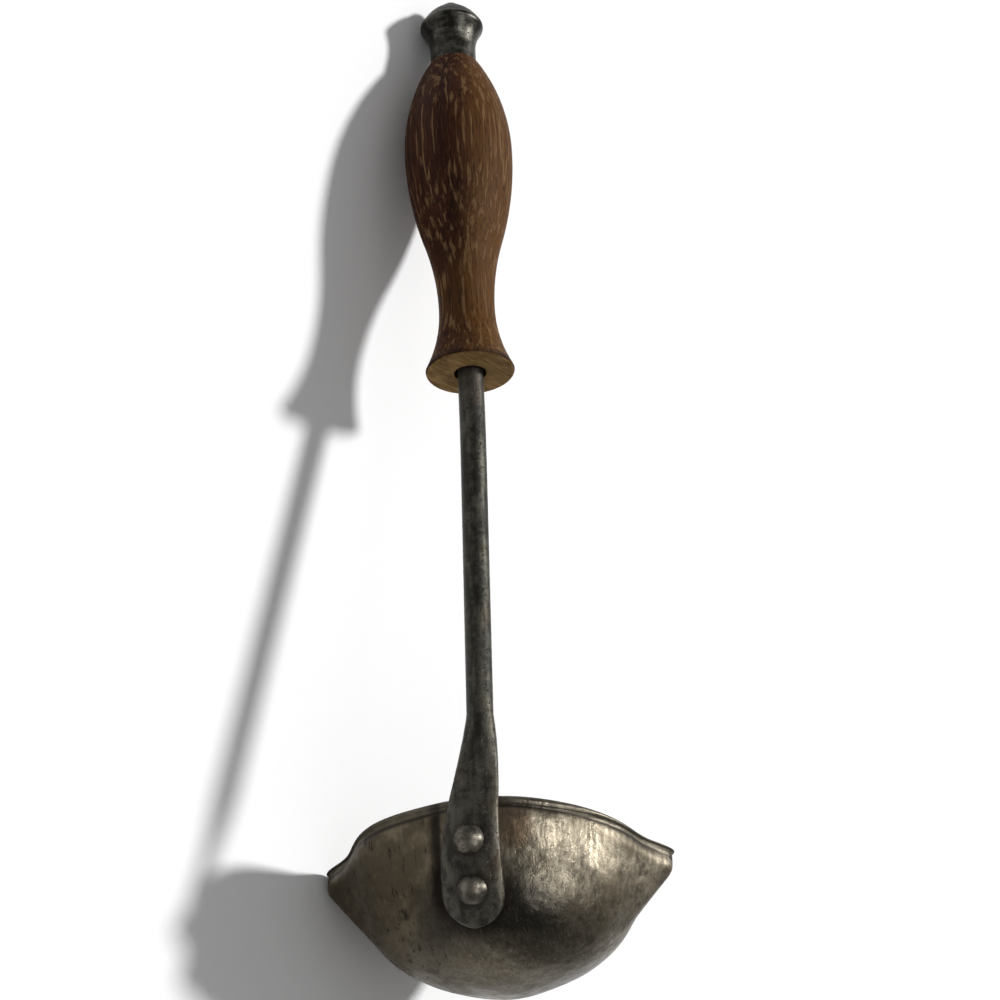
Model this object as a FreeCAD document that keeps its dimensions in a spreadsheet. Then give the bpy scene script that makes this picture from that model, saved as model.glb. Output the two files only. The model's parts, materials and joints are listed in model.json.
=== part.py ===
import FreeCAD, Part
import math
import os
import Sketcher

# A double-lipped pouring ladle: a pressed steel bowl, a forged steel shank whose flattened
# palm is riveted to the outside of the bowl, a turned wooden grip and a turned steel end cap.
# Millimetres.  The ladle is drawn about the middle of the bowl's mouth, with the handle going
# up +Z and the palm on the -Y side, and is then laid down the way it comes to rest.

Vector = FreeCAD.Vector
ORIGIN = Vector(0, 0, 0)
X_AXIS = Vector(1, 0, 0)
Z_AXIS = Vector(0, 0, 1)
DIAGONAL = math.sqrt(0.5)

# The flare's top is this much slimmer than the rod and runs this far into it, to end inside it.
ROD_STEP = 0.03
ROD_OVERLAP = 1.5

# How far below the rim the palm has moved fully to one side, and been pressed to full thickness.
SHIFT_RUN = 22.0
SEAT_RUN = 4.0

# Extra metal on the palm's inner face, which the bowl's seat is then cut from.
SEAT_STOCK = 0.8

# Depth angles of the bowl's rows below its rim; the last leaves a flat under 3 mm across below it.
FLOOR_ROWS = (6, 9, 13, 17, 22, 28, 35, 43, 52, 61, 70, 79, 88)

# Stations round a forged section, and the exponents of its outline: a circle, then a soft strap.
SECTION_POINTS = 40
ROUND = 2.0
STRAP = 3.6

SIZES = {
    # bowl
    "bowl_radius": 38.1,
    "bowl_wall": 1.8,
    "bead_projection": 0.45,
    "bead_depth": 2.8,
    "rim_spread": 3.4,
    "spread_angle": 70.0,
    "lip_length": 7.2,
    "lip_angle": 9.0,
    # shank
    "rod_diameter": 7.4,
    "rod_length": 92.0,
    "handle_lean": 7.3,
    "grip_bend": 1.5,
    "bend_run": 14.0,
    "flare_length": 24.0,
    "palm_width": 17.0,
    "palm_thickness": 3.0,
    "palm_length": 36.8,
    "palm_shift": 3.7,
    "tang_diameter": 5.5,
    "button_diameter": 7.0,
    "button_height": 2.4,
    # rivets
    "rivet_diameter": 4.8,
    "rivet_head_diameter": 8.4,
    "rivet_head_height": 2.9,
    "rivet_tail_diameter": 8.0,
    "rivet_tail_height": 1.6,
    "upper_rivet_angle": 18.9,
    "lower_rivet_angle": 38.1,
    # grip
    "grip_length": 105.5,
    "flange_diameter": 25.6,
    "flange_edge": 0.9,
    "waist_diameter": 16.2,
    "waist_height": 21.0,
    "belly_diameter": 31.8,
    "belly_height": 74.0,
    "belly_sweep": 105.0,
    "grip_top_diameter": 14.6,
    "mouth_diameter": 9.4,
    "mouth_depth": 6.0,
    # end cap
    "cap_length": 20.0,
    "neck_diameter": 13.6,
    "neck_height": 5.0,
    "cap_diameter": 18.9,
    "cap_height": 13.6,
    "cap_edge": 1.8,
    "crown_radius": 16.0,
    "crown_diameter": 8.4,
    # fits
    "clearance": 0.05,
}


class Term:
    """A size, with its value and the sheet expression that it is bound by."""

    def __init__(self, value, text=None):
        self.value = float(value)
        self.text = text or repr(float(value))

    def __add__(self, other):
        other = term(other)
        return Term(self.value + other.value, f"({self.text} + {other.text})")

    def __sub__(self, other):
        other = term(other)
        return Term(self.value - other.value, f"({self.text} - {other.text})")

    def __mul__(self, other):
        other = term(other)
        return Term(self.value * other.value, f"({self.text} * {other.text})")

    def __truediv__(self, other):
        other = term(other)
        return Term(self.value / other.value, f"({self.text} / {other.text})")


def term(value):
    return value if isinstance(value, Term) else Term(value)


def sine(angle):
    return Term(math.sin(math.radians(angle.value)), f"sin({angle.text} * 1deg)")


def cosine(angle):
    return Term(math.cos(math.radians(angle.value)), f"cos({angle.text} * 1deg)")


def tangent(angle):
    return Term(math.tan(math.radians(angle.value)), f"tan({angle.text} * 1deg)")


doc = FreeCAD.newDocument("pouring_ladle")
sheet = doc.addObject("Spreadsheet::Sheet", "sizes")
for row, (alias, value) in enumerate(SIZES.items(), start=1):
    sheet.set(f"A{row}", alias)
    sheet.set(f"B{row}", str(value))
    sheet.setAlias(f"B{row}", alias)
doc.recompute()

size = {alias: Term(sheet.get(alias), f"sizes.{alias}") for alias in SIZES}


def value(alias):
    return size[alias].value


# ---- turned pieces: a closed half section swept round its axis ----


def arc_between(start, end, radius, side):
    """The shorter arc from start to end, its centre on the left (side 1) or right (side -1)."""
    chord = end - start
    reach = math.sqrt(radius ** 2 - (chord.Length / 2) ** 2)
    left = Vector(-chord.y, chord.x, 0).normalize()
    centre = (start + end) / 2 + left * reach * side
    first = math.atan2(start.y - centre.y, start.x - centre.x)
    last = math.atan2(end.y - centre.y, end.x - centre.x)
    circle = Part.Circle(centre, Z_AXIS, radius)
    return Part.ArcOfCircle(circle, first, last) if side > 0 else Part.ArcOfCircle(circle, last, first)


def origin_plane(body, role):
    return next(item for item in body.Origin.OriginFeatures if item.Role == role)


def new_sketch(body, name, role):
    sketch = body.newObject("Sketcher::SketchObject", name)
    sketch.AttachmentSupport = (origin_plane(body, role), [""])
    sketch.MapMode = "FlatFace"
    return sketch


def bind(sketch, constraint, name, length):
    """Add a sketch constraint and bind it to the sheet."""
    index = sketch.addConstraint(constraint)
    sketch.renameConstraint(index, name)
    sketch.setExpression(f"Constraints.{name}", length.text)


def half_section(body, name, corners, arcs):
    """Draw a closed half section: corners are (radius, height) and arcs {edge: (radius, side)}."""
    sketch = new_sketch(body, name, "XZ_Plane")
    points = [Vector(term(across).value, term(up).value, 0) for across, up in corners]
    count = len(points)
    starts = []
    for edge in range(count):
        start = points[edge]
        end = points[(edge + 1) % count]
        if edge in arcs:
            radius, side = arcs[edge]
            sketch.addGeometry(arc_between(start, end, radius.value, side))
            starts.append(1 if side > 0 else 2)
        else:
            sketch.addGeometry(Part.LineSegment(start, end))
            starts.append(1)
    for edge in range(count):
        following = (edge + 1) % count
        ends = 3 - starts[edge]
        sketch.addConstraint(
            Sketcher.Constraint("Coincident", edge, ends, following, starts[following]))
    for edge, (across, up) in enumerate(corners):
        across = term(across)
        up = term(up)
        place = (-1, 1, edge, starts[edge])
        if across.value == 0:
            sketch.addConstraint(Sketcher.Constraint("PointOnObject", edge, starts[edge], -2))
        else:
            bind(sketch, Sketcher.Constraint("DistanceX", *place, across.value), f"across_{edge}", across)
        if up.value == 0:
            sketch.addConstraint(Sketcher.Constraint("PointOnObject", edge, starts[edge], -1))
        else:
            bind(sketch, Sketcher.Constraint("DistanceY", *place, up.value), f"up_{edge}", up)
    for edge, (radius, _) in arcs.items():
        bind(sketch, Sketcher.Constraint("Radius", edge, radius.value), f"radius_{edge}", radius)
    return sketch


def turned_body(name, corners, arcs):
    body = doc.addObject("PartDesign::Body", name)
    sketch = half_section(body, f"{name}_section", corners, arcs)
    turning = body.newObject("PartDesign::Revolution", f"{name}_turning")
    turning.Profile = sketch
    turning.ReferenceAxis = (sketch, ["V_Axis"])
    turning.Angle = 360
    sketch.Visibility = False
    doc.recompute()
    return body


def drill(body, name, diameter, depth=None):
    """Drill up the body's axis from its foot, to a depth or right through."""
    before = body.Shape.Volume
    sketch = new_sketch(body, f"{name}_circle", "XY_Plane")
    sketch.addGeometry(Part.Circle(ORIGIN, Z_AXIS, diameter.value / 2))
    sketch.addConstraint(Sketcher.Constraint("Coincident", 0, 3, -1, 1))
    bind(sketch, Sketcher.Constraint("Diameter", 0, diameter.value), "bore", diameter)
    doc.recompute()
    pocket = body.newObject("PartDesign::Pocket", name)
    pocket.Profile = sketch
    pocket.Reversed = True
    if depth is None:
        pocket.Type = "ThroughAll"
    else:
        pocket.setExpression("Length", depth.text)
    doc.recompute()
    if body.Shape.Volume >= before:
        raise RuntimeError(f"{name} removed nothing")


def tangent_sum(step, rise):
    """Sum of the radii of two arcs that meet in an S and end upright, a step across and a rise up."""
    return (step * step + rise * rise) / (step * 2)


# ---- bowl: a hemisphere drawn out into a pouring lip on each side ----


def rim_bulge(angle, lip_length, lip_angle):
    """How far the rim stands outside its circle, at an angle in degrees from the nearer lip."""
    spread = 0.0
    if angle < value("spread_angle"):
        spread = value("rim_spread") * (1 + math.cos(math.pi * angle / value("spread_angle"))) / 2
    return spread + lip_length * math.exp(-((angle / lip_angle) ** 1.5))


def lip_fade(depth, radius, reach):
    """Share of the rim's bulge left at a depth angle: each lip runs down in a straight line."""
    lip_slope = math.acos(radius / reach)
    if depth >= lip_slope:
        return 0.0
    return (1 / math.cos(lip_slope - depth) - 1) / (1 / math.cos(lip_slope) - 1)


def from_lip(azimuth):
    """Angle in degrees from the nearer lip; the lips lie on +X and -X."""
    turn = azimuth % 180
    return min(turn, 180 - turn)


def azimuths():
    """Stations round the rim, closer together where the lips turn sharply."""
    quarter = [0, 2, 4, 6, 8, 10.5, 13.5, 17, 21, 26, 32, 39, 47, 56, 65, 73, 81.5]
    half = quarter + [90] + [180 - angle for angle in reversed(quarter[1:])]
    return half + [180 + angle for angle in half]


def bead_depth_angle(angle):
    """Depth of the rolled bead below the rim, in radians: it thins out towards the lips."""
    share = 0.28 + 0.72 * min(1.0, angle / 75.0) ** 1.3
    return share * value("bead_depth") / value("bowl_radius")


def bowl_rows(outer):
    """Rows of (depth angle, projection) from the rim down, as functions of the angle from a lip."""
    floor_rows = [math.radians(depth) for depth in FLOOR_ROWS]
    if not outer:
        return [lambda angle, depth=depth: (depth, 0.0) for depth in [0.0, math.radians(3)] + floor_rows]
    bead = value("bead_projection")
    rows = [
        lambda angle: (0.0, bead),
        lambda angle: (0.75 * bead_depth_angle(angle), bead),
        lambda angle: (bead_depth_angle(angle), 0.35 * bead),
        lambda angle: (1.25 * bead_depth_angle(angle), 0.0),
    ]
    return rows + [lambda angle, depth=depth: (depth, 0.0) for depth in floor_rows[1:]]


def bowl_solid(radius, lip_length, lip_angle, outer):
    """The bowl filled to the rim: one loft from the lips down to the foot of its sphere."""
    stations = azimuths()
    reach = radius + rim_bulge(0, lip_length, lip_angle)
    knots = [station / 360 for station in stations] + [1.0]
    wires = []
    for row in bowl_rows(outer):
        points = []
        for azimuth in stations:
            angle = from_lip(azimuth)
            depth, projection = row(angle)
            bulge = rim_bulge(angle, lip_length, lip_angle) * lip_fade(depth, radius, reach)
            distance = radius + projection + bulge
            flat = distance * math.cos(depth)
            turn = math.radians(azimuth)
            points.append(Vector(flat * math.cos(turn), flat * math.sin(turn), -distance * math.sin(depth)))
        curve = Part.BSplineCurve()
        curve.interpolate(Points=points, PeriodicFlag=True, Parameters=knots)
        wires.append(Part.Wire(curve.toShape()))
    return Part.makeLoft(wires, True, False)


def rivet_direction(angle_alias):
    """Outward direction of a rivet, square to the bowl, on the palm's middle line."""
    sphere = value("bowl_radius") + value("palm_thickness")
    angle = math.radians(value(angle_alias))
    flat = math.sqrt(sphere ** 2 - value("palm_shift") ** 2)
    return Vector(-value("palm_shift"), -flat * math.cos(angle), -flat * math.sin(angle)).normalize()


def rivet_placement(angle_alias):
    return FreeCAD.Placement(ORIGIN, FreeCAD.Rotation(Z_AXIS, rivet_direction(angle_alias)))


def rivet_hole(name, angle_alias):
    hole = doc.addObject("Part::Cylinder", name)
    hole.setExpression("Radius", "sizes.rivet_diameter / 2 + sizes.clearance")
    hole.setExpression("Height", "sizes.bowl_radius * 1.5")
    hole.Placement = rivet_placement(angle_alias)
    return hole


def make_bowl(holes):
    outer = bowl_solid(value("bowl_radius"), value("lip_length"), value("lip_angle"), True)
    inner_radius = value("bowl_radius") - value("bowl_wall")
    inner = bowl_solid(inner_radius, 0.95 * value("lip_length"), 0.86 * value("lip_angle"), False)
    pressing = doc.addObject("Part::Feature", "bowl_pressing")
    pressing.Shape = outer.cut(inner)
    bowl = doc.addObject("Part::Cut", "bowl")
    bowl.Base = pressing
    bowl.Tool = holes
    return bowl


# ---- shank: a round rod, flared and flattened into a palm that wraps the bowl ----


def smooth(share):
    share = min(1.0, max(0.0, share))
    return share * share * (3 - 2 * share)


def lean_direction(lean):
    return Vector(0, -math.sin(lean), math.cos(lean))


def flare_centre(along):
    """Middle of the flare, and its direction, at a distance above the rim measured along it."""
    lean = math.radians(value("handle_lean"))
    middle = value("bowl_radius") + value("palm_thickness") / 2
    turn_radius = value("flare_length") / lean
    turned = min(along, value("flare_length")) / turn_radius
    point = Vector(0, -middle - turn_radius * (1 - math.cos(turned)), turn_radius * math.sin(turned))
    direction = lean_direction(turned)
    point += direction * max(0.0, along - value("flare_length"))
    return point, direction


def rod_placement():
    """Foot of the round rod, at the top of the flare; its own X axis is the side it bends to."""
    foot, direction = flare_centre(value("flare_length"))
    side = X_AXIS * -1
    return FreeCAD.Placement(foot, FreeCAD.Rotation(side, direction.cross(side), direction, "ZXY"))


def grip_placement():
    """Middle of the grip's foot, just past the bend, with Z along the grip."""
    bend = math.radians(value("grip_bend"))
    run = value("bend_run")
    foot = Vector(run * math.sin(bend), 0, value("rod_length") + run * math.cos(bend))
    turn = FreeCAD.Rotation(Vector(0, 1, 0), value("grip_bend"))
    return rod_placement() * FreeCAD.Placement(foot, turn)


def palm_half_width(below_flare):
    """Half width of the flare and palm at a distance below the top of the flare."""
    rod = value("rod_diameter") / 2
    wide = value("palm_width") / 2
    full = value("flare_length") + value("palm_length") - wide - 4
    share = min(1.0, below_flare / full)
    return rod + (wide - rod) * (1 - (1 - share) ** 1.35)


def section_wire(centre, across, outward, half_width, inner, outer, squareness, wrap):
    """A closed section: a circle at squareness 2, a soft rectangle above it, wrapped round the bowl."""
    points = []
    for index in range(SECTION_POINTS):
        turn = 2 * math.pi * index / SECTION_POINTS
        cosine = math.cos(turn)
        sine = math.sin(turn)
        side = math.copysign(abs(cosine) ** (2 / squareness), cosine) * half_width
        lift = math.copysign(abs(sine) ** (2 / squareness), sine)
        lift *= outer if sine > 0 else inner
        sphere = value("bowl_radius")
        drop = wrap * (sphere - math.sqrt(sphere ** 2 - side ** 2))
        points.append(centre + across * side + outward * (lift - drop))
    knots = [step / SECTION_POINTS for step in range(SECTION_POINTS + 1)]
    curve = Part.BSplineCurve()
    curve.interpolate(Points=points, PeriodicFlag=True, Parameters=knots)
    return Part.Wire(curve.toShape())


def sideways_shift(along):
    """How far the palm's middle line has moved to one side, at a distance above the rim."""
    flare = value("flare_length")
    return value("palm_shift") * smooth((flare - along) / (flare + SHIFT_RUN))


def palm_section(arc_length, half_width):
    """A section of the palm at a distance below the rim, measured along the bowl."""
    middle = value("bowl_radius") + value("palm_thickness") / 2
    depth = arc_length / middle
    shift = sideways_shift(-arc_length)
    flat = math.sqrt(middle ** 2 - shift ** 2)
    centre = Vector(-shift, -flat * math.cos(depth), -flat * math.sin(depth))
    outward = centre.normalize()
    centre = outward * middle
    across = (X_AXIS - outward * outward.x).normalize()
    outer = value("palm_thickness") / 2
    inner = outer + SEAT_STOCK * smooth(arc_length / SEAT_RUN)
    return section_wire(centre, across, outward, half_width, inner, outer, STRAP, 1.0)


def flare_section(along):
    """A section of the flare at a distance above the rim; it ends just inside the rod."""
    flare = value("flare_length")
    share = smooth(1 - along / flare)
    point, direction = flare_centre(along)
    point -= X_AXIS * sideways_shift(along)
    rod = value("rod_diameter") / 2
    half_width = palm_half_width(max(0.0, flare - along)) - ROD_STEP * (1 - share)
    slim = rod - ROD_STEP
    thick = slim + (value("palm_thickness") / 2 - slim) * share
    across = (X_AXIS - direction * direction.x).normalize()
    outward = direction.cross(across) * -1
    squareness = ROUND + (STRAP - ROUND) * share
    return section_wire(point, across, outward, half_width, thick, thick, squareness, share)


def forged_palm():
    """The palm and flare in one loft, from the palm's round end up into the rod's foot."""
    wide = value("palm_width") / 2
    nose = value("palm_length") - wide
    flare = value("flare_length")
    wires = []
    for turn in (86, 76, 64, 50, 34, 17):
        around = math.radians(turn)
        wires.append(palm_section(nose + wide * math.sin(around), wide * math.cos(around)))
    steps = 8
    for step in range(steps):
        arc_length = nose * (steps - step) / steps
        wires.append(palm_section(arc_length, palm_half_width(flare + arc_length)))
    for step in range(steps + 1):
        wires.append(flare_section(flare * step / steps))
    wires.append(flare_section(flare + ROD_OVERLAP))
    return Part.makeLoft(wires, True, False)


def make_rod():
    """The round rod, bent a little where it enters the grip, up to its shoulder."""
    body = doc.addObject("PartDesign::Body", "rod")
    path = new_sketch(body, "rod_path", "XZ_Plane")
    bend = size["grip_bend"]
    run = size["bend_run"]
    past = run + size["mouth_depth"]
    corners = [
        (term(0), term(0)),
        (term(0), size["rod_length"] - run),
        (run * sine(bend), size["rod_length"] + run * cosine(bend)),
        (past * sine(bend), size["rod_length"] + past * cosine(bend)),
    ]
    radius = run / tangent(bend / 2)
    points = [Vector(across.value, up.value, 0) for across, up in corners]
    path.addGeometry(Part.LineSegment(points[0], points[1]))
    path.addGeometry(arc_between(points[1], points[2], radius.value, -1))
    path.addGeometry(Part.LineSegment(points[2], points[3]))
    path.addConstraint(Sketcher.Constraint("Coincident", 0, 1, -1, 1))
    path.addConstraint(Sketcher.Constraint("Vertical", 0))
    path.addConstraint(Sketcher.Constraint("Coincident", 0, 2, 1, 2))
    path.addConstraint(Sketcher.Constraint("Coincident", 1, 1, 2, 1))
    bind(path, Sketcher.Constraint("DistanceY", -1, 1, 0, 2, corners[1][1].value), "straight", corners[1][1])
    for index, (across, up) in enumerate(corners[2:], start=1):
        bind(path, Sketcher.Constraint("DistanceX", -1, 1, 2, index, across.value), f"across_{index}", across)
        bind(path, Sketcher.Constraint("DistanceY", -1, 1, 2, index, up.value), f"up_{index}", up)
    bind(path, Sketcher.Constraint("Radius", 1, radius.value), "bend_radius", radius)
    circle = new_sketch(body, "rod_circle", "XY_Plane")
    circle.addGeometry(Part.Circle(ORIGIN, Z_AXIS, value("rod_diameter") / 2))
    circle.addConstraint(Sketcher.Constraint("Coincident", 0, 3, -1, 1))
    bind(circle, Sketcher.Constraint("Diameter", 0, value("rod_diameter")), "across", size["rod_diameter"])
    doc.recompute()
    sweep = body.newObject("PartDesign::AdditivePipe", "rod_sweep")
    sweep.Profile = circle
    sweep.Spine = (path, ["Edge1", "Edge2", "Edge3"])
    doc.recompute()
    body.Placement = rod_placement()
    return body


def make_tang():
    """The rod's reduced end: it runs through grip and cap and is hammered over into a button."""
    tang = size["tang_diameter"] / 2
    button = size["button_diameter"] / 2
    bottom = size["mouth_depth"] - 1
    seat = size["grip_length"] + size["cap_length"] + size["clearance"] * 2
    top = seat + size["button_height"]
    dome = (button * button + size["button_height"] * size["button_height"]) / (size["button_height"] * 2)
    corners = [(0, bottom), (tang, bottom), (tang, seat), (button, seat), (0, top)]
    return turned_body("tang", corners, {3: (dome, 1)})


def make_bowl_seat():
    """The space that the bowl takes under the palm, with the clearance between them."""
    dish = doc.addObject("Part::Feature", "bowl_dish")
    dish.Shape = bowl_solid(
        value("bowl_radius") + value("clearance"), value("lip_length"), value("lip_angle"), True)
    relief = doc.addObject("Part::Cylinder", "rim_relief")
    relief.setExpression("Radius", "sizes.bowl_radius + sizes.bead_projection + sizes.clearance * 2")
    relief.setExpression("Height", "sizes.bead_depth / 2")
    relief.setExpression("Placement.Base.z", "-sizes.bead_depth / 4")
    seat = doc.addObject("Part::Fuse", "bowl_seat")
    seat.Base = dish
    seat.Tool = relief
    return seat


def make_shank(holes):
    palm = doc.addObject("Part::Feature", "forged_palm")
    palm.Shape = forged_palm()
    tang = make_tang()
    tang.Placement = grip_placement()
    blank = doc.addObject("Part::MultiFuse", "shank_blank")
    blank.Shapes = [palm, make_rod(), tang]
    seated = doc.addObject("Part::Cut", "shank_seated")
    seated.Base = blank
    seated.Tool = make_bowl_seat()
    shank = doc.addObject("Part::Cut", "shank")
    shank.Base = seated
    shank.Tool = holes
    return shank


# ---- rivets: round heads on the palm, tails hammered over inside the bowl ----


def make_rivet(name):
    """A set rivet; its heights are measured from the middle of the bowl's sphere."""
    shaft = size["rivet_diameter"] / 2
    head = size["rivet_head_diameter"] / 2
    tail = size["rivet_tail_diameter"] / 2
    gap = size["clearance"]
    seat = size["bowl_radius"] + size["palm_thickness"] + gap
    wall_face = size["bowl_radius"] - size["bowl_wall"] - gap
    rise = size["rivet_head_height"]
    sink = size["rivet_tail_height"]
    head_dome = (head * head + rise * rise) / (rise * 2)
    tail_dome = (tail * tail + sink * sink) / (sink * 2)
    tail_edge = wall_face - tail * tail / (wall_face * 2)
    tail_root = wall_face - shaft * shaft / (wall_face * 2)
    corners = [
        (0, tail_edge - sink),
        (tail, tail_edge),
        (shaft, tail_root),
        (shaft, seat),
        (head, seat),
        (0, seat + rise),
    ]
    return turned_body(name, corners, {0: (tail_dome, 1), 4: (head_dome, 1)})


# ---- grip: turned hardwood, an egg-shaped belly above a waist and a flared foot ----


def make_grip():
    foot = size["flange_diameter"] / 2
    edge = size["flange_edge"]
    waist = size["waist_diameter"] / 2
    belly = size["belly_diameter"] / 2
    top = size["grip_top_diameter"] / 2
    foot_radius = tangent_sum(foot - waist, size["waist_height"] - edge)
    rise = size["belly_height"] - size["waist_height"]
    both = tangent_sum(belly - waist, rise)
    share = size["belly_sweep"] / both
    shoulder_radius = tangent_sum(belly - top, size["grip_length"] - size["belly_height"])
    corners = [
        (0, 0),
        (foot - edge, 0),
        (foot, edge),
        (waist, size["waist_height"]),
        (belly - (belly - waist) * share, size["belly_height"] - rise * share),
        (belly, size["belly_height"]),
        (top, size["grip_length"]),
        (0, size["grip_length"]),
    ]
    arcs = {
        1: (edge, 1),
        2: (foot_radius, -1),
        3: (both - size["belly_sweep"], -1),
        4: (size["belly_sweep"], 1),
        5: (shoulder_radius, 1),
    }
    grip = turned_body("grip", corners, arcs)
    drill(grip, "tang_bore", size["tang_diameter"] + size["clearance"] * 2)
    drill(grip, "rod_mouth", size["mouth_diameter"], size["mouth_depth"] + size["clearance"])
    return grip


# ---- end cap: turned steel, a waisted collar under a rounded crown ----


def make_end_cap():
    neck = size["neck_diameter"] / 2
    wide = size["cap_diameter"] / 2
    edge = size["cap_edge"]
    rise = size["cap_height"] - size["neck_height"]
    both = tangent_sum(wide - neck, rise)
    share = edge / both
    corners = [
        (0, 0),
        (neck, 0),
        (neck, size["neck_height"]),
        (wide - (wide - neck) * share, size["cap_height"] - rise * share),
        (wide - edge * (1 - DIAGONAL), size["cap_height"] + edge * DIAGONAL),
        (size["crown_diameter"] / 2, size["cap_length"]),
        (0, size["cap_length"]),
    ]
    arcs = {2: (both - edge, -1), 3: (edge, 1), 4: (size["crown_radius"], 1)}
    cap = turned_body("end_cap", corners, arcs)
    drill(cap, "cap_bore", size["tang_diameter"] + size["clearance"] * 2)
    return cap


# ---- how the ladle lies: on one lip, on the rim behind it and on the end cap ----


def rim_point(azimuth):
    """Outer edge of the rim at an azimuth in degrees."""
    bulge = rim_bulge(from_lip(azimuth), value("lip_length"), value("lip_angle"))
    distance = value("bowl_radius") + value("bead_projection") + bulge
    turn = math.radians(azimuth)
    return Vector(distance * math.cos(turn), distance * math.sin(turn), 0)


def rim_feet():
    """The two points of the rim that share the floor: one on the -X lip, one on the rim behind it."""
    lip_points = [rim_point(180 - turn / 2) for turn in range(0, 20)]
    rim_points = [rim_point(180 - turn / 2) for turn in range(30, 180)]
    down = Vector(-0.8, 0.6, 0)
    for _ in range(8):
        lip = max(lip_points, key=down.dot)
        rim = max(rim_points, key=down.dot)
        edge = (rim - lip).normalize()
        down = Vector(-edge.y, edge.x, 0)
    return lip, edge, down


def resting_down():
    """Direction of the floor, found by tipping the ladle about its rim until the cap touches."""
    lip, edge, down = rim_feet()
    sideways = down
    grip_axis = grip_placement().Rotation.multVec(Z_AXIS)
    cap_middle = grip_placement().multVec(
        Vector(0, 0, value("grip_length") + value("clearance") + value("cap_height")))
    ring = value("cap_diameter") / 2 - value("cap_edge")
    for _ in range(8):
        outward = (down - grip_axis * down.dot(grip_axis)).normalize()
        cap_foot = cap_middle + outward * ring + down * value("cap_edge")
        down = edge.cross(cap_foot - lip).normalize()
        if down.dot(sideways) < 0:
            down = down * -1
    return down


def lying_placement(pieces):
    """Turn the ladle onto the floor, handle towards -X, its bounding box centred on the origin."""
    down = resting_down()
    handle = grip_placement().Rotation.multVec(Z_AXIS)
    level = (handle - down * handle.dot(down)).normalize()
    up = down * -1
    turn = FreeCAD.Rotation(level * -1, up.cross(level * -1), up, "ZXY")
    turned = FreeCAD.Placement(ORIGIN, turn.inverted())
    lying = Part.makeCompound([piece.Shape for piece in pieces]).transformed(turned.toMatrix(), True)
    box = lying.optimalBoundingBox(False, False)
    shift = Vector(-box.Center.x, -box.Center.y, -box.ZMin)
    return FreeCAD.Placement(shift, turn.inverted())


holes = doc.addObject("Part::MultiFuse", "rivet_holes")
holes.Shapes = [
    rivet_hole("upper_hole", "upper_rivet_angle"),
    rivet_hole("lower_hole", "lower_rivet_angle"),
]

bowl = make_bowl(holes)
shank = make_shank(holes)
upper_rivet = make_rivet("upper_rivet")
upper_rivet.Placement = rivet_placement("upper_rivet_angle")
lower_rivet = make_rivet("lower_rivet")
lower_rivet.Placement = rivet_placement("lower_rivet_angle")
grip = make_grip()
grip.Placement = grip_placement()
end_cap = make_end_cap()
end_cap.Placement = grip_placement() * FreeCAD.Placement(
    Vector(0, 0, value("grip_length") + value("clearance")), FreeCAD.Rotation())
doc.recompute()

nodes = [bowl, shank, upper_rivet, lower_rivet, grip, end_cap]
laid = lying_placement(nodes)
for node in nodes:
    node.Placement = laid * node.Placement
doc.recompute()

for item in doc.Objects:
    if "Invalid" in item.State or "Error" in item.State:
        raise RuntimeError(f"{item.Name} failed: {item.State}")
for node in nodes:
    if node.Shape.isNull() or not node.Shape.isValid() or len(node.Shape.Solids) != 1:
        raise RuntimeError(f"{node.Label} is not one valid solid")

os.makedirs("parts", exist_ok=True)
for node in nodes:
    node.Shape.exportStep(f"parts/{node.Label}.step")
    box = node.Shape.optimalBoundingBox(False, False)
    print(f"{node.Label}: {node.Shape.Volume:.0f} mm3, {box.XLength:.1f} x {box.YLength:.1f} x {box.ZLength:.1f}")
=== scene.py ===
import json
import math

import bpy
from mathutils import Euler, Matrix, Vector, noise


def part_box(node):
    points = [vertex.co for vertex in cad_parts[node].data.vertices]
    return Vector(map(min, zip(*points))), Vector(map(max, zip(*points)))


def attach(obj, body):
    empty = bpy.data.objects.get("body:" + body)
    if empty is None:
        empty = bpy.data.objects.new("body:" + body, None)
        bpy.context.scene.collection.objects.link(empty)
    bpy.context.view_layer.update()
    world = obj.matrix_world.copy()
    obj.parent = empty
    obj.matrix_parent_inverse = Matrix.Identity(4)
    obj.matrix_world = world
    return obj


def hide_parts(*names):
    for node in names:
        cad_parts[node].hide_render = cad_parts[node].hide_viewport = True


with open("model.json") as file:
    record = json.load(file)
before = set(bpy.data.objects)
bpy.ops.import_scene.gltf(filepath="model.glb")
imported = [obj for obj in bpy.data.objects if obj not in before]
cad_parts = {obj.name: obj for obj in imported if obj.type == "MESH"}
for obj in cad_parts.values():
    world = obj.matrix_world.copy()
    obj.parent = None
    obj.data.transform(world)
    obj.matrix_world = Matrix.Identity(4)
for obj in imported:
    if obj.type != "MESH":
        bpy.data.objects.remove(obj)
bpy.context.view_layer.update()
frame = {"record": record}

nodes = {item.name.split(".")[0]: item for item in bpy.data.objects if item.type == "MESH"}


# ---- bowl ----
# Pressed steel, spun to a hemisphere with its rim rolled into a bead and drawn out into a
# pouring lip on each side.  Years of hot lead have left it tarnished brown and grey, worn
# bright on its round side and pitted towards the lips.  Painted light is laid into its colour
# too: painted shadow and shade by and under the palm, a painted dark reflection below it,
# painted shade towards the bottom and along the rim, and painted reflected light on the left.


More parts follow.
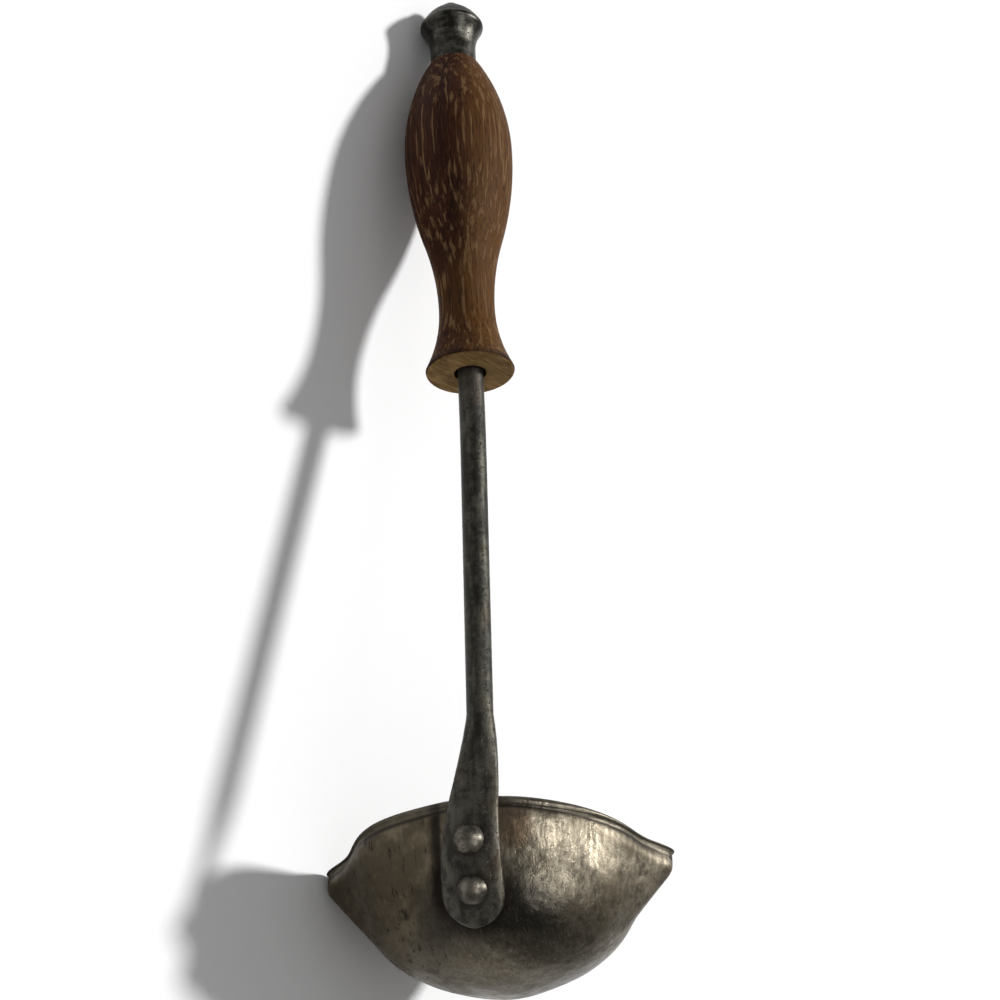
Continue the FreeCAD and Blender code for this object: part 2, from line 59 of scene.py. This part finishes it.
class Wire:
    """An output of a shader node, which can be added, multiplied and so on like a number."""

    def __init__(self, tree, socket):
        self.tree = tree
        self.socket = socket

    def node(self, kind, settings=None, links=None):
        return add_node(self.tree, kind, settings, links)

    def math(self, operation, *values, clamp=False):
        settings = {"operation": operation, "use_clamp": clamp}
        made = self.node("ShaderNodeMath", settings, dict(enumerate(values)))
        return Wire(self.tree, made.outputs[0])

    def vector(self, operation, *values):
        made = self.node("ShaderNodeVectorMath", {"operation": operation}, dict(enumerate(values)))
        return Wire(self.tree, made.outputs["Value" if operation == "DOT_PRODUCT" else "Vector"])

    def __add__(self, other):
        return self.math("ADD", self, other)

    def __radd__(self, other):
        return self.math("ADD", other, self)

    def __sub__(self, other):
        return self.math("SUBTRACT", self, other)

    def __rsub__(self, other):
        return self.math("SUBTRACT", other, self)

    def __mul__(self, other):
        return self.math("MULTIPLY", self, other)

    def __rmul__(self, other):
        return self.math("MULTIPLY", other, self)

    def __truediv__(self, other):
        return self.math("DIVIDE", self, other)

    def __pow__(self, other):
        return self.math("POWER", self, other)

    def between(self, low, high):
        """0 below low and 1 above high, with a soft step between them."""
        settings = {"interpolation_type": "SMOOTHSTEP"}
        made = self.node("ShaderNodeMapRange", settings, {"Value": self, "From Min": low, "From Max": high})
        return Wire(self.tree, made.outputs[0])

    def tint(self, low, high):
        """A colour that runs from low, where this is 0, to high, where it is 1."""
        made = self.node("ShaderNodeMix", {"data_type": "RGBA"}, {0: self, 6: low, 7: high})
        return Wire(self.tree, made.outputs[2])


def add_node(tree, kind, settings=None, links=None):
    """A shader node: its settings first, then the values or wires of its inputs."""
    made = tree.nodes.new(kind)
    for name, setting in (settings or {}).items():
        setattr(made, name, setting)
    for name, value in (links or {}).items():
        if isinstance(value, Wire):
            tree.links.new(value.socket, made.inputs[name])
        elif hasattr(made.inputs[name], "default_value"):
            made.inputs[name].default_value = value
    return made


def rgb(red, green, blue):
    return (red, green, blue, 1.0)


class Finish:
    """A material under construction: places on the piece, noises over it, then its surface."""

    def __init__(self, name):
        self.material = bpy.data.materials.new(name)
        self.material.use_nodes = True
        self.tree = self.material.node_tree
        self.tree.nodes.clear()
        coordinates = add_node(self.tree, "ShaderNodeTexCoord")
        self.place = Wire(self.tree, coordinates.outputs["Object"])

    def along(self, direction, origin=(0, 0, 0)):
        """Distance in metres from an origin, measured along a direction."""
        moved = self.place.vector("SUBTRACT", self.place, tuple(origin))
        return moved.vector("DOT_PRODUCT", moved, tuple(direction))

    def framed(self, origin, first, second, third):
        """Places measured from an origin along three directions, whose lengths set the scale."""
        parts = [self.along(direction, origin) for direction in (first, second, third)]
        made = add_node(self.tree, "ShaderNodeCombineXYZ", None, dict(enumerate(parts)))
        return Wire(self.tree, made.outputs[0])

    def noise(self, scale, detail=4.0, roughness=0.55, place=None, distortion=0.0):
        links = {
            "Vector": place or self.place,
            "Scale": scale,
            "Detail": detail,
            "Roughness": roughness,
            "Distortion": distortion,
        }
        made = add_node(self.tree, "ShaderNodeTexNoise", None, links)
        return Wire(self.tree, made.outputs[0])

    def near(self, centre, radius):
        """1 at a place on the piece, fading to 0 at a radius from it."""
        offset = self.place.vector("SUBTRACT", self.place, tuple(centre))
        square = offset.vector("DOT_PRODUCT", offset, offset)
        return 1 - square.between(0.0, radius ** 2)

    def finish(self, colour, roughness, bump, depth, metallic=1.0, specular=0.5):
        relief = add_node(self.tree, "ShaderNodeBump", None, {"Height": bump, "Distance": depth})
        links = {
            "Base Color": colour,
            "Roughness": roughness,
            "Metallic": metallic,
            "Normal": Wire(self.tree, relief.outputs[0]),
            "Specular IOR Level": specular,
        }
        surface = add_node(self.tree, "ShaderNodeBsdfPrincipled", None, links)
        output = add_node(self.tree, "ShaderNodeOutputMaterial")
        self.tree.links.new(surface.outputs[0], output.inputs[0])
        return self.material


# The ladle's own axes as it lies: the line through its lips, away from the palm, and up the handle.
LYING = Euler([math.radians(turn) for turn in (-115.554, -51.869, 103.626)]).to_matrix()
LIP_LINE, BACK, MOUTH = LYING.transposed()
BOWL_RADIUS = 0.0381
BOWL_WALL = 0.0018
bowl_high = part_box("bowl")[1]
bowl_centre = Vector((bowl_high.x - BOWL_RADIUS, 0.00255, 0.03911))


def ease(share):
    share = min(1.0, max(0.0, share))
    return share * share * (3 - 2 * share)


def lip_angle(azimuth):
    """Degrees round the rim from the nearer lip."""
    turn = math.degrees(azimuth) % 180
    return min(turn, 180 - turn)


def left_share(azimuth):
    """1 on the left half of the bowl, 0 on the right half."""
    return ease(0.5 - math.cos(azimuth))


def rim_bulge(azimuth):
    """How far the rim stands out from its circle: a broad spread, a fuller quarter, and two lips."""
    angle = lip_angle(azimuth)
    spread = 0.0034 * (1 + math.cos(math.pi * min(angle, 70) / 70)) / 2
    palm_side = ease(0.5 - 1.5 * math.sin(azimuth))
    shoulder = 0.0021 * left_share(azimuth) * palm_side * math.exp(-(((angle - 38) / 20) ** 2))
    lip = 0.0072 * math.exp(-((angle / 8.8) ** 1.7))
    return spread + shoulder + lip


def wall_bulge(azimuth, depth):
    """The same at a depth angle: each lip runs down in a straight line, and the flanks are full."""
    bulge = rim_bulge(azimuth)
    reach = BOWL_RADIUS + bulge
    slope = math.acos(BOWL_RADIUS / reach)
    below = max(0.0, depth - math.radians(1.8))
    share = 0.0
    if below < slope:
        share = (1 / math.cos(slope - below) - 1) / (1 / math.cos(slope) - 1)
    near = math.cos(math.radians(min(lip_angle(azimuth), 62) * 90 / 62)) ** 2
    full = (0.0031 + 0.0004 * left_share(azimuth)) * near
    swell = ease(depth / math.radians(9)) * (1 - ease((depth - math.radians(30)) / math.radians(46)))
    return bulge * share + full * swell


def bowl_place(azimuth, distance, height):
    """A place on the bowl, by its distance out from the handle's axis and height above the mouth."""
    flat = Vector((math.cos(azimuth), math.sin(azimuth), 0)) * distance
    return bowl_centre + LYING @ (flat + Vector((0, 0, height)))


def bowl_rings():
    """Rings of (distance, height) as functions of azimuth: up the inside, over the rim, down."""
    def wall(depth, offset):
        def ring(azimuth):
            distance = BOWL_RADIUS + offset + wall_bulge(azimuth, depth)
            flat = math.cos(depth)
            outward = Vector((flat * math.cos(azimuth), flat * math.sin(azimuth), math.sin(depth)))
            dent = 0.00022 * noise.noise(outward * 3.2)
            distance += dent * ease(depth / 0.2)
            return distance * math.cos(depth), -distance * math.sin(depth)
        return ring

    def bead(turn):
        def ring(azimuth):
            share = 0.28 + (0.72 - 0.36 * left_share(azimuth)) * ease(lip_angle(azimuth) / 75)
            proud = 0.00055 * share
            half_wide = (BOWL_WALL + proud) / 2
            half_high = 0.0014 * share
            middle = BOWL_RADIUS + rim_bulge(azimuth) + (proud - BOWL_WALL) / 2
            return middle + half_wide * math.cos(turn), half_high * (math.sin(turn) - 1)
        return ring

    steps = 64
    depths = [math.radians(6 + 83.6 * (step / steps) ** 1.15) for step in range(steps + 1)]
    rings = [wall(depth, -BOWL_WALL) for depth in reversed(depths)]
    rings += [bead(math.radians(turn)) for turn in range(190, -76, -12)]
    rings += [wall(math.radians(4.9), -0.00012)]
    return rings + [wall(depth, 0.0) for depth in depths]


def ring_mesh(name, rings, count):
    """A closed mesh from rings of places, capped at its first and last ring."""
    turns = [2 * math.pi * step / count for step in range(count)]
    corners = [bowl_place(turn, *ring(turn)) for ring in rings for turn in turns]
    faces = []
    for row in range(len(rings) - 1):
        for step in range(count):
            following = (step + 1) % count
            low, high = row * count, (row + 1) * count
            faces.append((low + step, low + following, high + following, high + step))
    faces.append(tuple(reversed(range(count))))
    faces.append(tuple(range((len(rings) - 1) * count, len(rings) * count)))
    mesh = bpy.data.meshes.new(name)
    mesh.from_pydata(corners, [], faces)
    mesh.polygons.foreach_set("use_smooth", [True] * len(faces))
    mesh.update()
    piece = bpy.data.objects.new(name, mesh)
    bpy.context.scene.collection.objects.link(piece)
    return piece


def rivet_seat(depth):
    """Middle of a rivet's head where it meets the palm, at a depth angle below the rim."""
    outside = BOWL_RADIUS + 0.003
    across = -0.0037
    flat = math.sqrt(outside ** 2 - across ** 2)
    turn = math.radians(depth)
    return bowl_centre + LYING @ Vector((across, -flat * math.cos(turn), -flat * math.sin(turn)))


def bowl_steel():
    steel = Finish("tarnished bowl steel")
    broad = steel.noise(38.0, 5.0, 0.6)
    mottle = steel.noise(230.0, 6.0, 0.68)
    grain = steel.noise(1400.0, 3.0, 0.6)
    strokes = steel.framed(bowl_centre, LIP_LINE * 900, BACK * 500, (MOUTH + LIP_LINE * 0.35) * 130)
    brushing = steel.noise(1.0, 4.0, 0.6, strokes)
    crossed = steel.framed(bowl_centre, (LIP_LINE * 2 + MOUTH) * 1500, BACK * 500, (LIP_LINE - MOUTH * 2) * 80)
    hairs = steel.noise(1.0, 3.0, 0.6, crossed).between(0.58, 0.72)
    runs = steel.framed(bowl_centre, LIP_LINE * 760, BACK * 300, MOUTH * 150)
    nicks = steel.noise(1.0, 3.0, 0.6, runs)
    lip_side = steel.along(LIP_LINE, bowl_centre)
    mouth_side = steel.along(MOUTH, bowl_centre)
    left = 1 - lip_side.between(-0.022, -0.002)
    round_side = 1 - left
    # Painted dark reflection: a near-black belt across the bowl below the palm.
    painted_dark_belt = mouth_side.between(-0.037, -0.03) * (1 - mouth_side.between(-0.025, -0.014))
    painted_dark_belt = painted_dark_belt * (1 - lip_side.between(0.012, 0.03)) * lip_side.between(-0.03, -0.012)
    rim = mouth_side.between(-0.0042, -0.0030)
    # Painted shade: near-black lines in the crease below the rim's bead and along the rim's edge.
    crease_shade = rim * (1 - mouth_side.between(-0.0030, -0.0021))
    brim_shade = mouth_side.between(-0.0009, -0.0003)
    stains = (broad * 0.6 + mottle * 0.5 + left * 0.1).between(0.5, 0.7)
    pits = nicks.between(0.6, 0.68) * (left * 0.85 + 0.15)
    worn = (mottle * 0.55 + brushing * 0.45).between(0.38, 0.64)
    # A brownish-orange patch on the bowl just right of the palm.
    brown_patch_by_palm = steel.near(bowl_place(math.radians(281), 0.0375, -0.009), 0.0085)
    # Painted shadow and shade: the palm's shadow along its left edge and the shade under its lower end darken the
    # bowl to near black.
    painted_shadow_beside_palm = lip_side.between(-0.0165, -0.0130) * (1 - lip_side.between(-0.0125, -0.0110))
    painted_shadow_beside_palm = painted_shadow_beside_palm * (1 - steel.along(BACK, bowl_centre).between(-0.02, -0.01))
    painted_shadow_beside_palm = painted_shadow_beside_palm * mouth_side.between(-0.030, -0.022)
    painted_shade_under_palm = steel.near(bowl_centre + (rivet_seat(42.0) - bowl_centre) * 0.95, 0.0145)
    painted_shade = (painted_shadow_beside_palm * 0.8 + painted_shade_under_palm * 0.9).between(0.0, 1.0)
    # Painted shade: the bowl darkens towards its bottom.
    painted_low_shade = 1 - mouth_side.between(-0.036, -0.022)
    colour = worn.tint(rgb(0.082, 0.069, 0.048), rgb(0.235, 0.205, 0.155))
    # The left half is tinted a lighter brown: tarnish, with painted light reflected from the floor.
    colour = (left * 0.65).tint(colour, rgb(0.15, 0.12, 0.074))
    colour = (painted_low_shade * 0.6).tint(colour, rgb(0.055, 0.045, 0.031))
    colour = (stains * 0.8).tint(colour, rgb(0.058, 0.045, 0.028))
    colour = (painted_dark_belt * 0.9).tint(colour, rgb(0.014, 0.0125, 0.0105))
    colour = (brown_patch_by_palm * 0.6).tint(colour, rgb(0.08, 0.042, 0.018))
    colour = (hairs * round_side * 0.22).tint(colour, rgb(0.42, 0.38, 0.31))
    colour = (pits * 0.8).tint(colour, rgb(0.02, 0.013, 0.009))
    colour = (painted_shade * 0.95).tint(colour, rgb(0.009, 0.006, 0.004))
    colour = (rim * 0.5).tint(colour, rgb(0.1, 0.09, 0.072))
    colour = (crease_shade * 0.85 + brim_shade * 0.8).tint(colour, rgb(0.016, 0.013, 0.01))
    lip_end = lip_side.between(0.026, 0.036)
    roughness = 0.24 + stains * 0.16 + mottle * 0.14 + left * 0.12 + painted_shade * 0.15 + lip_end * 0.14
    dents = steel.noise(105.0, 2.0, 0.5)
    bump = broad * 0.8 + dents * 1.5 + mottle * 0.4 + brushing * 0.14 + grain * 0.06 - pits * 0.3
    return steel.finish(colour, roughness, bump, 0.0005, 0.9)


bowl_piece = ring_mesh("bowl_pressing", bowl_rings(), 420)
bowl_piece.data.materials.append(bowl_steel())
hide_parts("bowl")
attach(bowl_piece, "root")


# ---- shank ----
# One steel forging: a round rod whose foot is hammered flat into a palm that wraps the bowl.
# The black forge scale is still on it, pitted with rust and rubbed brown along the rod.

grip_mount = next(mount for mount in frame["record"]["mounts"] if mount["name"] == "grip")
GRIP_AXIS = Vector(grip_mount["axis"]).normalized()
GRIP_MIDDLE = Vector(grip_mount["pos_m"])
GRIP_SIDE = GRIP_AXIS.cross(Vector((0, 0, 1))).normalized()
GRIP_TOP = GRIP_SIDE.cross(GRIP_AXIS).normalized()


def dress(node, material):
    """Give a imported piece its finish."""
    piece = nodes[node]
    piece.data.materials.clear()
    piece.data.materials.append(material)
    return piece


def shank_steel():
    steel = Finish("forge-black shank steel")
    drawn = steel.framed(GRIP_MIDDLE, GRIP_AXIS * 60, GRIP_SIDE * 420, GRIP_TOP * 420)
    drag = steel.noise(1.0, 5.0, 0.6, drawn)
    mottle = steel.noise(320.0, 6.0, 0.7)
    broad = steel.noise(70.0, 4.0, 0.6)
    grain = steel.noise(1600.0, 3.0, 0.6)
    pits = steel.noise(820.0, 4.0, 0.6).between(0.6, 0.68)
    height = steel.along(MOUTH, bowl_centre)
    palm = 1 - height.between(0.006, 0.026)
    near_grip = height.between(0.108, 0.13) * (1 - height.between(0.14, 0.15))
    rubbed = (drag * 0.55 + mottle * 0.5 + palm * 0.05).between(0.46, 0.66)
    colour = rubbed.tint(rgb(0.017, 0.0165, 0.0135), rgb(0.066, 0.063, 0.049))
    colour = (palm * 0.65).tint(colour, rubbed.tint(rgb(0.03, 0.0275, 0.022), rgb(0.08, 0.074, 0.06)))
    colour = (near_grip * 0.4).tint(colour, rgb(0.11, 0.1, 0.088))
    colour = (broad.between(0.5, 0.7) * 0.3).tint(colour, rgb(0.075, 0.05, 0.028))
    # Painted shade: dark rings on the palm round the rivet heads.
    painted_shade = steel.near(rivet_seat(18.9), 0.0066) + steel.near(rivet_seat(38.1), 0.0066)
    colour = (painted_shade * 0.9).tint(colour, rgb(0.022, 0.017, 0.013))
    colour = (pits * (0.7 - palm * 0.4)).tint(colour, rgb(0.014, 0.011, 0.009))
    roughness = 0.36 + mottle * 0.22 - palm * 0.04
    bump = mottle * 0.55 + broad * 0.5 + drag * 0.15 + grain * 0.08 - pits * 0.25
    return steel.finish(colour, roughness, bump, 0.0004, 0.85)


dress("shank", shank_steel())


# ---- rivets ----
# Two steel rivets, their round heads on the palm and their tails hammered over inside the
# bowl.  The heads are rubbed a little brighter than the palm round them.


def rivet_steel():
    steel = Finish("worn rivet steel")
    mottle = steel.noise(260.0, 6.0, 0.65)
    grain = steel.noise(1700.0, 3.0, 0.6)
    pits = steel.noise(700.0, 3.0, 0.6).between(0.62, 0.7)
    rubbed = mottle.between(0.4, 0.65)
    colour = rubbed.tint(rgb(0.05, 0.045, 0.036), rgb(0.145, 0.13, 0.105))
    colour = (pits * 0.6).tint(colour, rgb(0.03, 0.024, 0.018))
    roughness = 0.3 + mottle * 0.2
    bump = mottle * 0.5 + grain * 0.08 - pits * 0.2
    return steel.finish(colour, roughness, bump, 0.0003, 0.9)


rivet_finish = rivet_steel()
for rivet in ("upper_rivet", "lower_rivet"):
    dress(rivet, rivet_finish)


# ---- grip ----
# Turned hardwood, stained dark and polished by hands.  The grain runs along it, with long
# pale streaks, and shows as bare end grain on the foot round the rod.


# The grip's right side as it is held up by the handle.
VIEW_SIDE = (LIP_LINE - GRIP_AXIS * LIP_LINE.dot(GRIP_AXIS)).normalized()


def grip_wood():
    wood = Finish("dark turned hardwood")
    figure_place = wood.framed(GRIP_MIDDLE, GRIP_AXIS * 22, GRIP_SIDE * 260, GRIP_TOP * 260)
    streak_place = wood.framed(GRIP_MIDDLE, GRIP_AXIS * 20, GRIP_SIDE * 980, GRIP_TOP * 980)
    pore_place = wood.framed(GRIP_MIDDLE, GRIP_AXIS * 170, GRIP_SIDE * 2300, GRIP_TOP * 2300)
    figure = wood.noise(1.0, 4.0, 0.55, figure_place, 0.8)
    streaks = wood.noise(1.0, 2.0, 0.5, streak_place, 0.25)
    pores = wood.noise(1.0, 3.0, 0.55, pore_place, 0.3)
    broad = wood.noise(30.0, 3.0, 0.5)
    blotch = wood.noise(150.0, 5.0, 0.62)
    height = wood.along(GRIP_AXIS, GRIP_MIDDLE)
    seen_side = wood.along(VIEW_SIDE, GRIP_MIDDLE)
    foot = 1 - height.between(-0.0599, -0.0596)
    edge = (1 - height.between(-0.0588, -0.0572)) * (1 - foot) * blotch.between(0.3, 0.5)
    lower = 1 - height.between(-0.045, 0.002)
    # Painted light: the wood turns gold towards its right side, and less towards its left edge and lower end; its
    # dark figure is kept off the right side.
    right = (seen_side + broad * 0.008).between(0.0, 0.013)
    left = 1 - (seen_side + broad * 0.006).between(-0.0145, -0.008)
    red = rgb(0.022, 0.0042, 0.0016)
    gold = rgb(0.095, 0.039, 0.0075)
    colour = figure.between(0.38, 0.66).tint(red, rgb(0.05, 0.0145, 0.0032))
    painted_light_sides = (right * 0.75 + left * 0.4 + lower * 0.5 + broad * 0.5 - 0.25).between(0.1, 1.0)
    colour = painted_light_sides.tint(colour, gold)
    colour = (figure.between(0.52, 0.62) * (1 - right) * 0.75).tint(colour, red)
    colour = (streaks.between(0.54, 0.64) * 0.6).tint(colour, rgb(0.2, 0.115, 0.05))
    colour = (pores.between(0.56, 0.66) * 0.3).tint(colour, rgb(0.13, 0.07, 0.03))
    colour = ((1 - pores.between(0.36, 0.45)) * 0.65).tint(colour, rgb(0.006, 0.002, 0.001))
    rings = wood.noise(1.0, 3.0, 0.6, wood.framed(GRIP_MIDDLE, GRIP_AXIS * 10, GRIP_SIDE * 160, GRIP_TOP * 900))
    end_grain = (blotch * 0.45 + rings * 0.55).between(0.36, 0.64)
    colour = foot.tint(colour, end_grain.tint(rgb(0.13, 0.07, 0.022), rgb(0.29, 0.18, 0.07)))
    colour = (edge * 0.85).tint(colour, rgb(0.012, 0.005, 0.003))
    roughness = 0.48 + blotch * 0.2 + foot * 0.2
    bump = pores * 0.5 + streaks * 0.25 + figure * 0.3 + blotch * 0.3 + end_grain * foot * 0.4
    return wood.finish(colour, roughness, bump, 0.00035, 0.0, specular=0.07)


dress("grip", grip_wood())


# ---- end cap ----
# Turned from steel bar, with faint rings left by the tool.  The rod's end is peened over it
# to hold the grip tight.


def cap_steel():
    steel = Finish("dark turned cap steel")
    turned = steel.framed(GRIP_MIDDLE, GRIP_AXIS * 2600, GRIP_SIDE * 60, GRIP_TOP * 60)
    rings = steel.noise(1.0, 3.0, 0.6, turned)
    mottle = steel.noise(300.0, 5.0, 0.6)
    pits = steel.noise(750.0, 3.0, 0.6).between(0.62, 0.7)
    colour = (mottle * 0.75 + rings * 0.25).between(0.42, 0.62).tint(rgb(0.016, 0.0155, 0.0125), rgb(0.07, 0.067, 0.056))
    colour = (pits * 0.6).tint(colour, rgb(0.012, 0.011, 0.01))
    # Painted shade: the crown of the cap is darkened.
    crown = steel.along(GRIP_AXIS, GRIP_MIDDLE).between(0.0592, 0.0615)
    colour = (crown * 0.5).tint(colour, rgb(0.012, 0.0115, 0.0095))
    roughness = 0.26 + mottle * 0.24 + crown * 0.15
    bump = rings * 0.12 + mottle * 0.5 - pits * 0.2
    return steel.finish(colour, roughness, bump, 0.0003, 0.9)


dress("end_cap", cap_steel())


# ---- floor, light and camera ----
# A plain white floor, a soft key lamp above and behind the ladle on the far side, and a
# plain pale surround.

bpy.ops.mesh.primitive_plane_add(size=12.0, location=(0, 0, 0))
floor = bpy.context.object
floor.name = "studio_floor"
paper = Finish("white paper")
paper_grain = paper.noise(300.0, 3.0, 0.5)
paper_colour = paper_grain.tint(rgb(0.955, 0.955, 0.955), rgb(0.975, 0.975, 0.975))
floor.data.materials.append(paper.finish(paper_colour, 0.95, paper_grain, 0.00002, 0.0))



def far_lamp(name, source, energy, spread, sheen_only=False):
    """A far lamp, its light softened over a spread in degrees; some only show as a sheen on metal."""
    data = bpy.data.lights.new(name, "SUN")
    data.energy = energy
    data.angle = math.radians(spread)
    lamp = bpy.data.objects.new(name, data)
    bpy.context.scene.collection.objects.link(lamp)
    lamp.rotation_mode = "QUATERNION"
    lamp.rotation_quaternion = Vector(source).to_track_quat("Z", "Y")
    lamp.visible_diffuse = not sheen_only


far_lamp("key_lamp", (-0.484, 0.702, 1.0), 3.15, 7.0)
far_lamp("ceiling_panel", (-0.243, -0.088, 0.964), 1.3, 9.0, sheen_only=True)
far_lamp("side_panel", (0.363, 0.011, 0.932), 0.9, 9.0, sheen_only=True)

world = bpy.data.worlds.new("studio")
bpy.context.scene.world = world
world.use_nodes = True
world.node_tree.nodes.clear()
sky = add_node(world.node_tree, "ShaderNodeBackground", None, {"Color": rgb(1.0, 1.0, 1.0), "Strength": 0.3})
backdrop = add_node(world.node_tree, "ShaderNodeBackground", None, {"Color": rgb(1.0, 1.0, 1.0), "Strength": 1.0})
path = add_node(world.node_tree, "ShaderNodeLightPath")
seen = Wire(world.node_tree, path.outputs["Is Camera Ray"])
mixed = add_node(world.node_tree, "ShaderNodeMixShader", None, {0: seen})
world.node_tree.links.new(sky.outputs[0], mixed.inputs[1])
world.node_tree.links.new(backdrop.outputs[0], mixed.inputs[2])
world_output = add_node(world.node_tree, "ShaderNodeOutputWorld")
world.node_tree.links.new(mixed.outputs[0], world_output.inputs[0])

VIEW_AZIMUTH = math.radians(25.547)
VIEW_ELEVATION = math.radians(43.228)
VIEW_ROLL = math.radians(78.15)
VIEW_DISTANCE = 1.0
VIEW_TARGET = Vector((0.00885, -0.01041, 0.03682))
back = Vector((
    math.sin(VIEW_AZIMUTH) * math.cos(VIEW_ELEVATION),
    -math.cos(VIEW_AZIMUTH) * math.cos(VIEW_ELEVATION),
    math.sin(VIEW_ELEVATION),
))
camera_data = bpy.data.cameras.new("camera")
camera_data.sensor_width = 36.0
camera_data.lens = 125.88
camera = bpy.data.objects.new("camera", camera_data)
bpy.context.scene.collection.objects.link(camera)
side = Vector((math.cos(VIEW_AZIMUTH), math.sin(VIEW_AZIMUTH), 0))
right = side * math.cos(VIEW_ROLL) + back.cross(side) * math.sin(VIEW_ROLL)
turn = Matrix((right, back.cross(right), back)).transposed()
camera.matrix_world = Matrix.Translation(VIEW_TARGET + back * VIEW_DISTANCE) @ turn.to_4x4()
bpy.context.scene.camera = camera

scene = bpy.context.scene
scene.view_settings.view_transform = "Standard"
